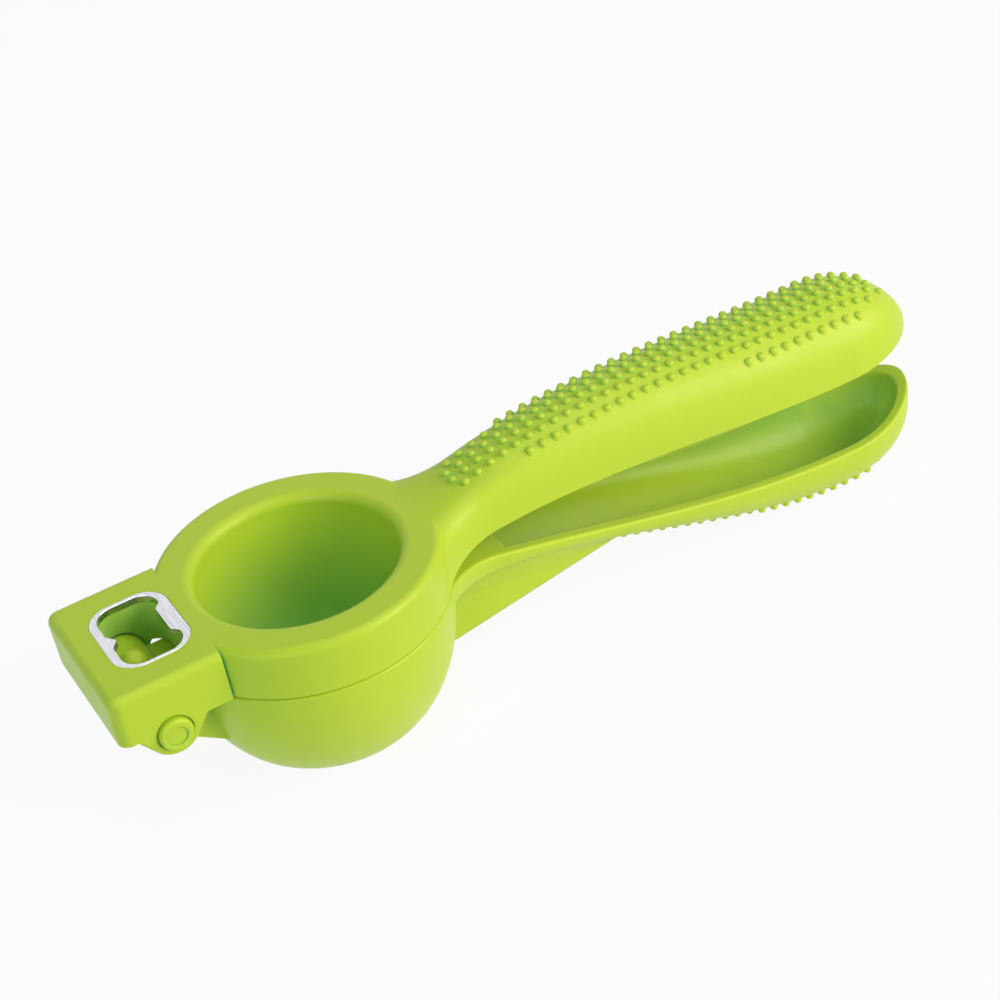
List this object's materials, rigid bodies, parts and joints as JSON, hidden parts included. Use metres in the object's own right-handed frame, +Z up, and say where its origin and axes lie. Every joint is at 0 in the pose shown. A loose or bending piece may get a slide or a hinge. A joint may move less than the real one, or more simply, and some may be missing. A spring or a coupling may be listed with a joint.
{
  "type": "lemon squeezer",
  "caption": "Handheld lemon squeezer: hinged bowl and pressing-cup arms in plastic with studded hollow handles, and a steel bottle-opener plate over the hinge.",
  "frame": {"origin": "on the bowl's axis, on the flat foot of the bowl where it stands on the table", "axes": "+X along the handles away from the hinge, +Z up out of the bowl, Y along the hinge pin with its head at -Y; the squeezer is closed"},
  "size_m": [0.2243, 0.068, 0.0578],
  "materials": {
    "green_plastic": "satin moulded",
    "steel": "polished"
  },
  "bodies": {
    "lower_arm": {"bowl_arm": "green_plastic"},
    "upper_arm": {"press_arm": "green_plastic", "opener_plate": "steel", "hinge_pin": "green_plastic", "pin_cap": "green_plastic"}
  },
  "joints": [
    {"name": "arm_hinge", "type": "hinge", "parent": "lower_arm", "child": "upper_arm", "pos_m": [-0.0426, 0, 0.0326], "axis": [0, -1, 0], "range_deg": [0, 112]}
  ]
}
